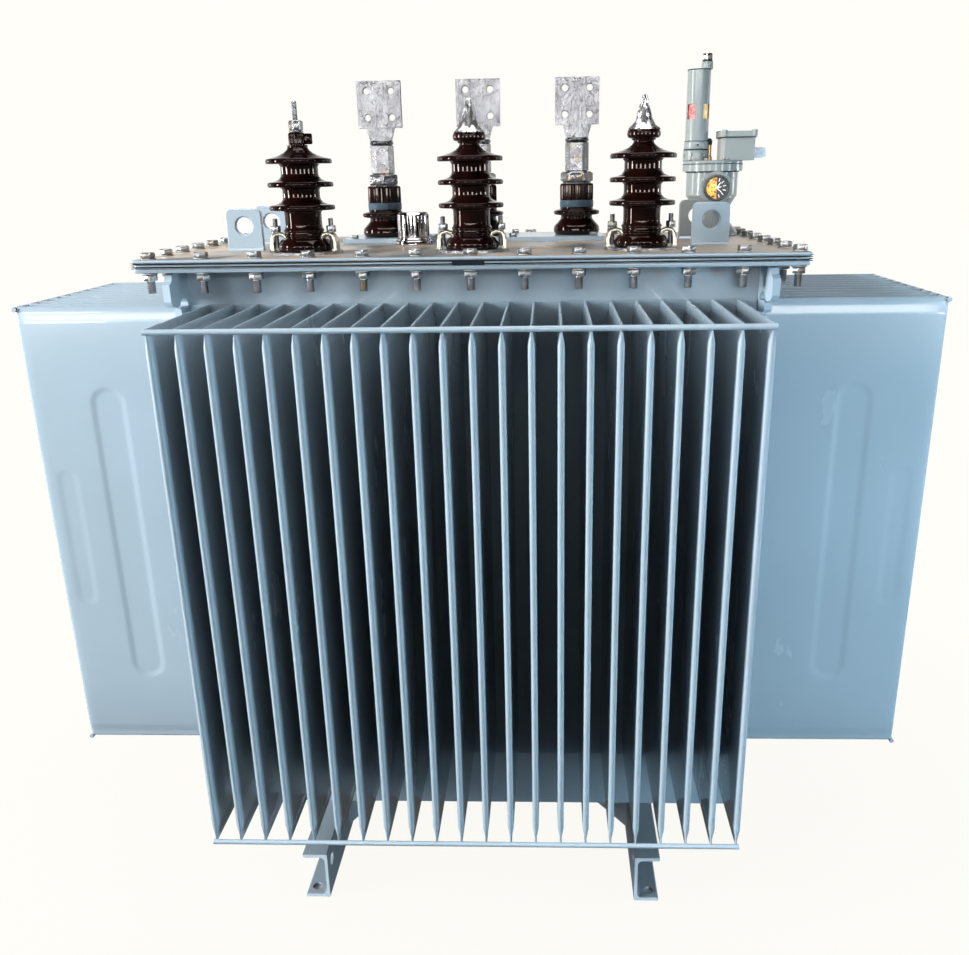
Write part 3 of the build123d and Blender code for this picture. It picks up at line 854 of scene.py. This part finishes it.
# plate in the XZ plane with one hole: rings run over the front, the rim, the back and the hole wall
def drilled(outline, hole, r, t, rim=0.0, hole_rim=1.0):
    cx, cz = hole
    steps, edge = 32, 1e-4
    angles = {round(2 * math.pi * k / steps, 5) for k in range(steps)}
    angles |= {round(math.atan2(z - cz, x - cx) % (2 * math.pi), 5) for x, z in outline}
    rows = []
    for a in sorted(angles):
        c, s = math.cos(a), math.sin(a)
        far = 0
        for (x0, z0), (x1, z1) in zip(outline, outline[1:] + outline[:1]):
            dx, dz = x1 - x0, z1 - z0
            den = c * dz - s * dx
            if abs(den) < TINY:
                continue
            d = ((x0 - cx) * dz - (z0 - cz) * dx) / den
            q = ((x0 - cx) * s - (z0 - cz) * c) / den
            if d > 0 and -edge <= q <= 1 + edge:
                far = max(far, d)
        half = t / 2
        ring = [(far - rim, half), (far, half - rim), (far, rim - half), (far - rim, -half),
                (r + hole_rim, -half), (r, hole_rim - half), (r, half - hole_rim), (r + hole_rim, half)]
        rows.append([(cx + c * d, -y, cz + s * d) for d, y in ring])
    v = [p for row in rows for p in row]
    f = []
    for i in range(len(rows)):
        j = (i + 1) % len(rows)
        for k in range(8):
            m = (k + 1) % 8
            if not rim and k in (0, 2):
                continue
            f.append((i * 8 + k, j * 8 + k, j * 8 + m, i * 8 + m))
    return v, f


# lifting lugs with their weld beads; the rear right one takes a darker paint as painted shade
def lugs():
    hi = box_mm("lifting_lugs")[1]
    half, thick, height, corner = 39, 12, 85, 14
    hole_height, hole_r, rim = 50, 18, 2.2
    bead = [(-5, 0), (-3.4, 2.8), (0, 4.6), (3.4, 2.8), (5, 0)]
    outline = soft([(-half, 0), (half, 0), (half, height, corner), (-half, height, corner)], 6, True)
    bag, shaded, welds = Bag(), Bag(), Bag()
    for sx in (-1, 1):
        for sy in (-1, 1):
            x, y = sx * (hi.x - half), sy * (hi.y - thick / 2)
            # the rear right lug goes to the darker paint: painted shade
            own = shaded if sx + sy == 2 else bag
            own.add(drilled(outline, (0, hole_height), hole_r, thick, rim, rim), at(x, y, deck))
            for s in (-1, 1):
                spots = [x + share * (half - 1) for share in (-1, -0.33, 0.33, 1)]
                welds.add(sweep([Vector((q, y + s * thick / 2, deck)) for q in spots], bead))
    bag.piece("lifting_eyes", "tank_paint", replaces=("lifting_lugs",))
    shaded.piece("lifting_eye_rear_right", "shaded_lug_paint", "tank_paint")
    welds.piece("lug_welds", "tank_paint")


lugs()


# high-voltage bushings as smooth glazed bodies: foot, two beads, three sheds and a neck
HV_TOP = 206
HV_BURY = 2


def hv_profile():
    barrel, neck, shed = 36.6, 20, 65
    first, pitch, count = 88.5, 43.5, 3
    pts = [(0, 5), (52, 5, 1), (53.6, 8, 3), (53.6, 17, 8), (47, 28, 7), (40, 29.5, 2)]
    pts += [(38.6, 32, 2), (41.2, 35.5, 2.4), (38.8, 39, 2), (38.4, 41.5, 2), (40.8, 45, 2.4),
            (37.4, 49.5, 2.5), (barrel, 55, 4)]
    for i in range(count):
        z = first + pitch * i
        pts += [(barrel, z - 8.5, 4), (41, z - 5.0, 3), (58, z - 4.8, 2), (shed - 0.6, z - 4.6, 4),
                (shed, z + 0.4, 3.5), (shed - 1, z + 4.6, 4)]
        if i == count - 1:
            pts += [(53, z + 7.0, 7), (40, z + 11, 8), (29, z + 16, 8), (22.5, z + 21, 6),
                    (neck, z + 25, 3)]
        else:
            pts += [(51, z + 6.8, 7), (42, z + 10.5, 6), (38, z + 15, 5), (barrel, z + 20, 4)]
    pts += [(neck, HV_TOP), (0, HV_TOP)]
    return soft(pts, 4)


# left one: fluted cap with a side spout, and a bare stud with its nut
def hv_open_head(here, c):
    low, flutes, flute_deep = HV_TOP - HV_BURY, 16, 2.2
    nut_z, washer_t, nut, stud_low, stud_top, pitch = 230, 2.5, 18, 250, 286, 1.5
    cap = soft([(0, low), (14, low, 1), (15.5, 207, 1), (16.5, 209, 1), (16.5, 225, 1.5),
                (14, 229, 1.5), (0, 230)], 3)
    spout = soft([(12, -5, 2), (20, -7, 4), (29, -3, 4), (31, 2, 3), (24, 7, 4), (12, 6, 2)], 4, True)
    caps = Bag().add(lathe(cap, 96, flutes, flute_deep), here).add(prism(spout, 207, 227, 2.4), here)
    caps.piece("hv_cap_left", "brown_cap")
    bare = Bag()
    bare.add(washer(14, washer_t), at(c.x, c.y, deck + nut_z))
    bare.add(hexagon(24, nut, 0.9, 0.3), at(c.x, c.y, deck + nut_z + washer_t))
    bare.add(thread(5, stud_low, stud_top, pitch), here)
    bare.piece("hv_stud", "zinc", replaces=("hv_terminal_left",))


# the others: smooth cap under a crumpled cone of film
def hv_wrapped_head(here, side):
    low = HV_TOP - HV_BURY
    cap = soft([(0, low), (22, low, 1), (24, 207, 2), (30, 208.5, 3), (32.5, 213, 4), (32.5, 219, 4),
                (29, 225, 5), (22, 229.5, 5), (14, 231.5, 5), (0, 232)], 4)
    Bag().add(lathe(cap, 64), here).piece("hv_cap_" + side, "brown_cap")
    overlay = [(30.5, 223.5), (28, 227), (23, 231), (19.5, 235), (17.5, 240), (15, 246), (13, 252),
            (11, 258), (9.2, 264), (7.6, 270), (6.8, 275), (6.0, 280), (5, 284), (2, 286), (0, 286)]
    folds = 3.1 if side == "mid" else 8.7
    Bag().add(lathe(overlay, 48, crumple=3.4, seed=folds), here).piece(
        "hv_film_" + side, "foil", sharp=24, replaces=("hv_terminal_" + side,))


def hv_group():
    profile = hv_profile()
    for side in ("left", "mid", "right"):
        c = middle("hv_bushing_" + side)
        here = at(c.x, c.y, deck)
        Bag().add(lathe(profile, 96), here).piece("hv_porcelain_" + side, "brown_glaze",
                                                  replaces=("hv_bushing_" + side,))
        if side == "left":
            hv_open_head(here, c)
        else:
            hv_wrapped_head(here, side)


hv_group()


# strap bent in the XZ plane along a path of (x, z, width)
def strap(path, thick):
    edge = 1.6
    v, f = [], []
    n = len(path)
    for i, p in enumerate(path):
        a, b = path[max(i - 1, 0)], path[min(i + 1, n - 1)]
        d = Vector((b[0] - a[0], b[1] - a[1])).normalized()
        w, t = p[2] / 2, thick / 2
        for y, h in ((w, 0.4), (w - edge, 1), (edge - w, 1), (-w, 0.4), (-w, -0.4), (edge - w, -1),
                     (w - edge, -1), (w, -0.4)):
            v.append((p[0] - d.y * h * t, y, p[1] + d.x * h * t))
    for i in range(n - 1):
        for k in range(8):
            m = (k + 1) % 8
            f.append((i * 8 + k, i * 8 + m, (i + 1) * 8 + m, (i + 1) * 8 + k))
    f += [tuple(range(8)), tuple(range((n - 1) * 8, n * 8))]
    return v, f


# cast claws that hold the foot ring, with their studs and nuts
def clamps():
    toe, stud_x, seat, claw_top, thick = 66, 58, 5, 41, 8
    washer_t, nut, stud_low, stud_top = 2, 11, 10, 68
    cast, studs = Bag(), Bag()
    path = soft([(toe, seat), (toe, 22, 10), (62, 36, 12), (50, 38.5, 8), (42, 36, 4), (38, 31)], 5)
    claw = [(x, z, 24 - 5 * ease((z - 8) / 26)) for x, z in path]
    for side in ("left", "mid", "right"):
        c = middle("hv_bushing_" + side)
        for turn in (0, 180):
            swing = turn - 10 if side == "left" and turn == 0 else turn
            place = at(c.x, c.y, deck, ("Z", swing))
            cast.add(strap(claw, thick), place)
            cast.add(prism(rect(6, 12, 2), seat, seat + 3.5, 0.8), place @ at(toe, 0, 0))
            here = place @ at(stud_x, 0, 0)
            studs.add(washer(10, washer_t), here @ at(0, 0, claw_top))
            studs.add(hexagon(17, nut, 0.8, 0.2), here @ at(0, 0, claw_top + washer_t))
            studs.add(thread(5, stud_low, stud_top, 1.5), here)
    cast.piece("hv_claws", "cream_zinc", "zinc", replaces=("hv_clamps",))
    studs.piece("hv_claw_studs", "zinc")


clamps()


# low-voltage bushings, caps, bands, nuts; heights are above the low-voltage plate
LV_BAND, LV_CAP, LV_NUT, LV_SLEEVE, LV_TONGUE, LV_PALM = 62, 77, 114, 140, 206, 291.5


def lv_bodies():
    body = soft([(0, 0), (49, 0, 2), (51, 2, 3), (54.4, 10, 6), (53, 19, 7), (44, 28, 8), (38, 35, 4),
                 (36.5, 40, 2), (37.5, 43.6, 1.5), (46, 44, 2), (52, 45.5, 2), (54.4, 50, 3), (52.5, 54, 2),
                 (46, 56, 3), (39, 57.5, 2), (38.2, LV_BAND), (0, LV_BAND)], 4)
    band = soft([(0, 61), (38, 61, 1), (39.2, 63, 1.5), (39.4, 68, 3), (39.2, 76, 2), (37.5, 77.5, 1),
                 (0, 77.5)], 3)
    cap = soft([(0, LV_CAP), (37.6, LV_CAP, 1), (38.6, 79, 1), (38.6, 110, 2), (36.8, LV_NUT, 2),
                (0, LV_NUT + 0.3)], 3)
    flutes, flute_deep, across, nut, washer_t = 36, 1.9, 65, 23.6, 2.4
    caps, bands, nuts = Bag(), Bag(), Bag()
    for side, turn in (("left", 39), ("mid", 8), ("right", -4)):
        c = middle("lv_bushing_" + side)
        here = at(c.x, c.y, lv_deck)
        Bag().add(lathe(body, 80), here).piece("lv_porcelain_" + side, "brown_glaze",
                                               replaces=("lv_bushing_" + side,))
        caps.add(lathe(cap, 144, flutes, flute_deep), here)
        bands.add(lathe(band, 64), here)
        nuts.add(washer(33, washer_t), here @ at(0, 0, LV_NUT))
        nuts.add(hexagon(across, nut, 2.2, math.radians(turn)), here @ at(0, 0, LV_NUT + washer_t))
    caps.piece("lv_ribbed_caps", "brown_cap", replaces=("lv_caps",))
    bands.piece("lv_rubber_bands", "band_rubber", replaces=("lv_bands",))
    nuts.piece("lv_hex_nuts", "sleeve_zinc", "tinned", replaces=("lv_nuts",))


lv_bodies()


# palm with four holes: one drilled quarter each, closed by the four outer walls
def drilled_palm(bag, place):
    half, hole_out, hole_r, thick = 50, 28, 7.5, 13.6
    for sx in (-1, 1):
        for sz in (-1, 1):
            cell = [(0, 0), (half * sx, 0), (half * sx, half * sz), (0, half * sz)]
            if sx * sz < 0:
                cell.reverse()
            bag.add(drilled(cell, (hole_out * sx, hole_out * sz), hole_r, thick, 0.0, 1.2), place)
    edge = [(-half, -half), (half, -half), (half, half), (-half, half)]
    y = thick / 2
    for (x0, z0), (x1, z1) in zip(edge, edge[1:] + edge[:1]):
        bag.add(([(x0, -y, z0), (x1, -y, z1), (x1, y, z1), (x0, y, z0)], [(0, 1, 2, 3)]), place)


# low-voltage terminals: six-sided sleeve, dish ring in dark metal as painted shade, widening tongue,
# drilled palm
def lv_terminals():
    across, sleeve, half_thick = 47, 65, 7
    tongue = [(-25, 0), (25, 0), (26, 12), (33, 36.5), (-33, 36.5), (-26, 12)]
    dish = soft([(0, 203), (22, 203, 1), (27, 206, 3), (27.6, 210, 3), (24, 213.5, 3), (0, 214)], 4)
    rings = Bag()
    for side, turn in (("left", 9), ("mid", 5), ("right", -5)):
        c = middle("lv_terminal_" + side)
        here = at(c.x, c.y, lv_deck)
        Bag().add(hexagon(across, sleeve, 1.6, math.radians(turn)), here @ at(0, 0, LV_SLEEVE)).piece(
            "lv_sleeve_" + side, "sleeve_zinc", "tinned", sharp=30)
        rings.add(lathe(dish, 48), here)
        palm = Bag()
        palm.add(prism(tongue, -half_thick, half_thick, 1.2), here @ at(0, 0, LV_TONGUE, ("X", 90)))
        drilled_palm(palm, here @ at(0, 0, LV_PALM))
        palm.piece("lv_palm_" + side, "tinned", sharp=30, replaces=("lv_terminal_" + side,))
    rings.piece("lv_dish_rings", "dish_shade_metal", "tinned")


lv_terminals()


# small hexagon screws along the edges of the low-voltage plate
def plate_screws():
    inset_x, inset_y, across, head, washer_t = 24, 16, 15, 6.5, 1.6
    lo, hi = box_mm("lv_plate")
    first, run = lo.x + inset_x, hi.x - lo.x - 2 * inset_x
    bag = Bag()
    for x in (first, first + run / 3, first + run * 2 / 3, hi.x - inset_x):
        for y in (lo.y + inset_y, hi.y - inset_y):
            bag.add(washer(9, washer_t), at(x, y, hi.z))
            bag.add(hexagon(across, head, 0.6, x * 0.7), at(x, y, hi.z + washer_t))
    bag.piece("lv_plate_screws", "zinc")


plate_screws()


# bright filler can on its foot ring
def filler():
    c = middle("filler_cap")
    can, ring, height = 35.7, 43, 70
    prof = soft([(0, 0), (ring, 0, 1), (ring, 3, 1), (ring - 1, 8, 2), (37.5, 9, 1), (37, 12.5, 1),
                 (35.2, 14, 1), (can, 17, 1), (can, 64, 5), (31, height, 4), (0, height)], 4)
    Bag().add(lathe(prof, 96), at(c.x, c.y, deck)).piece("filler_can", "bright_chrome",
                                                         replaces=("filler_cap",))


filler()


# relay: clamped cover plate, stepped sleeves, dark joints, screws, plug, halves of the float
def relay_parts():
    c = middle("relay_foot")
    t = middle("relay_tube")
    top, plug_z = [q.z for q in box_mm("relay_tube")]
    here = at(c.x, c.y, 0)
    tube = at(t.x, c.y, 0)
    tube_r, plate_r, plate_t, step_z, joint_z = 29, 69, 8, top + 31, top + 33.5
    paint_bag, dark, metal_bag = Bag(), Bag(), Bag()

    def ring(r_in, low, high, r_out, close=False, place=tube, seg=64):
        end = 0 if close else r_in
        dark.add(lathe([(r_in, low), (r_out, low), (r_out, high), (end, high)], seg), place)

    plate = [(0, top), (plate_r - 0.5, top, 1), (plate_r, top + 1, 1), (plate_r, top + 6, 1.5),
             (plate_r - 3, top + plate_t, 1.5), (0, top + plate_t)]
    paint_bag.add(lathe(soft(plate, 3), 72), here)
    ring(60, top - 0.9, top + 0.7, 70.4, place=here, seg=72)
    dark.add(lathe([(58, top - 18.8), (63, top - 18.4), (63, top - 16.1), (58, top - 16.1)], 72), here)
    lower = [(20, top + plate_t), (31, top + plate_t, 1), (30.4, top + 10, 1), (30, step_z, 1.2),
             (20, step_z)]
    upper = [(20, joint_z), (28.6, joint_z, 1), (28.6, top + 50, 1.5), (20, top + 51)]
    paint_bag.add(lathe(soft(lower, 3), 64), tube)
    paint_bag.add(lathe(soft(upper, 3), 64), tube)
    ring(20, step_z, joint_z + 0.1, 29.0)
    ring(20, top + 50.8, top + 52, 27.5)
    ring(20, plug_z - 1.6, plug_z + 0.6, 27.0, close=True)
    screws = [(bearing, 20, 2.6) for bearing in (-60, -118, -20, -160)]
    for bearing, up, r in [(-92, 42, 2.2)] + screws:
        a = math.radians(bearing)
        x, y = t.x + tube_r * math.cos(a), c.y + tube_r * math.sin(a)
        spot = at(x, y, top + up, ("Z", bearing), ("Y", 90))
        own = dark if bearing == -92 else metal_bag
        own.add(washer(r, 3.0), spot)
    for k in range(8):
        a = math.radians(22.5 + 45 * k)
        spot = at(61 * math.cos(a), 61 * math.sin(a), top + plate_t)
        metal_bag.add(hexagon(9, 4.5, 0.5, a), here @ spot)
    dial_z, front = middle("relay_dial").z, 71.5
    for x, z in ((-31, 18), (36.5, 21), (-33, -20), (33, -20)):
        metal_bag.add(washer(2.6, 2.0), at(c.x + x, c.y - front, dial_z + z, ("X", 90)))
    relay_plug(paint_bag, dark, metal_bag, plug_z)
    relay_valve(dark, at(c.x - 9, c.y + 4, 0), top + plate_t)
    relay_box_trim(paint_bag, dark)
    paint_bag.piece("relay_rings", "relay_paint")
    dark.piece("relay_joints", "dark_rubber", "band_rubber")
    metal_bag.piece("relay_screws", "zinc", replaces=("relay_plug",))
    i_lo, i_hi = box_mm("relay_indicator")
    r = (i_hi.x - i_lo.x) / 2
    m = (i_lo + i_hi) / 2
    for name, first, material in (("relay_float", 95, "indicator_red"), ("relay_glass", -85, "amber")):
        turns = [math.radians(first + 10 * k) for k in range(19)]
        half = [(r * math.cos(a), r * math.sin(a)) for a in turns]
        Bag().add(prism(half, i_lo.z, i_hi.z), at(m.x, m.y, 0)).piece(
            name, material, "indicator_red", replaces=("relay_indicator",) if first > 0 else ())


def relay_plug(paint_bag, dark, metal_bag, low):
    p = middle("relay_plug")
    plug = at(p.x, p.y, 0)
    knob = [(0, low), (13, low, 1), (13, low + 15, 2), (11, low + 17.5, 1), (0, low + 17.5)]
    paint_bag.add(lathe(soft(knob, 3), 60, 20, 0.7), plug)
    dark.add(lathe([(0, low + 17), (11.5, low + 17), (11.5, low + 19.6), (0, low + 19.6)], 40), plug)
    metal_bag.add(hexagon(21, 14.4, 1.0, 0.3), plug @ at(0, 0, low + 19.6))


def relay_valve(dark, place, low):
    stem = [(0, low), (7, low), (7, low + 8, 1), (5, low + 10, 1), (5, low + 35, 1), (0, low + 36)]
    Bag().add(lathe(soft(stem, 3), 24), place).piece("relay_valve", "brass", "zinc")
    knob = [(0, low + 35), (6, low + 35, 1), (6.5, low + 44, 2), (3, low + 49, 2), (0, low + 50)]
    dark.add(lathe(soft(knob, 3), 24), place)


def relay_box_trim(paint_bag, dark):
    box_lo, box_hi = box_mm("relay_lid")
    half = (box_hi - box_lo) / 2
    mid = (box_lo + box_hi) / 2
    inset, boss_r = 1.2, 6.6
    ring = rect(half.x - inset, half.y - inset, 6, 4)
    dark.add(sweep([Vector((x + mid.x, y + mid.y, box_lo.z)) for x, y in ring],
                   [(4, 1.0), (0, 1.0), (-0.2, 0), (0, -1.5), (4, -1.5)], closed=True))
    boss = [(0, box_lo.z), (boss_r, box_lo.z, 1), (boss_r, box_hi.z + 2.5, 2), (0, box_hi.z + 3)]
    for sx, sy in ((-1, -1), (1, -1), (1, 1), (-1, 1)):
        spot = at(mid.x + sx * (half.x - 5), mid.y + sy * (half.y - 4), 0)
        paint_bag.add(lathe(soft(boss, 3), 24), spot)


relay_parts()


# cable gland: six-sided shoulder, ribbed dome nut and the open bore
def gland():
    lo, hi = box_mm("relay_gland")
    m = (lo + hi) / 2
    place = at(lo.x, m.y, m.z, ("Y", 90))
    dome = [(10, 8), (11.6, 8, 1), (11.8, 26, 2), (9.5, 31, 3), (6.6, 33, 1), (6, 32, 1), (6, 16)]
    bag = Bag()
    bag.add(hexagon(22, 9, 0.8, 0.2), place)
    bag.add(lathe(soft(dome, 3), 96, 16, 1.1), place)
    bag.piece("gland_nut", "gland_plastic", replaces=("relay_gland",))
    Bag().add(lathe([(0, 18), (6.2, 18)], 24), place).piece("gland_bore", "dark_rubber", "gland_plastic")


gland()


# dial: black bezel ring, scuffed sector and pale marks on the boss
def dial():
    lo, hi = box_mm("relay_dial")
    c = (lo + hi) / 2
    r = (hi.x - lo.x) / 2
    here = at(c.x, lo.y, c.z, ("X", 90))
    bezel = [(r - 5, -3), (r - 5, 0.6, 0.5), (r - 4, 1.2, 0.6), (r - 1, 1.2, 0.6), (r, 0.4, 0.4), (r, -3)]
    Bag().add(lathe(soft(bezel, 3), 64), here).piece("dial_bezel", "dial_face")
    k = r - 6
    turns = [math.radians(90 + 7.5 * i) for i in range(25)]
    half = [(k * math.cos(a), k * math.sin(a)) for a in turns]
    Bag().add(prism(half, 0, 0.5, 0.1), here).piece("dial_sector", "dial_yellow", "dial_face")
    marks = Bag()
    for i in range(6):
        spot = at(0, 0, 0, ("Z", -72 + 29 * i)) @ at(k - 5, 0, 0)
        marks.add(prism(rect(3.6, 0.8), 0, 0.6, 0.1), here @ spot)
    for turn, low, high in ((-35, -2, 15), (-128, -3, 14), (-75, 1, 11)):
        hand = [(-1.5, low), (1.5, low), (0.8, high), (-0.8, high)]
        marks.add(prism(hand, 0.6, 1.4, 0.2), here @ at(0, 0, 0, ("Z", turn)))
    marks.piece("dial_marks", "dial_white", "dial_face")


dial()
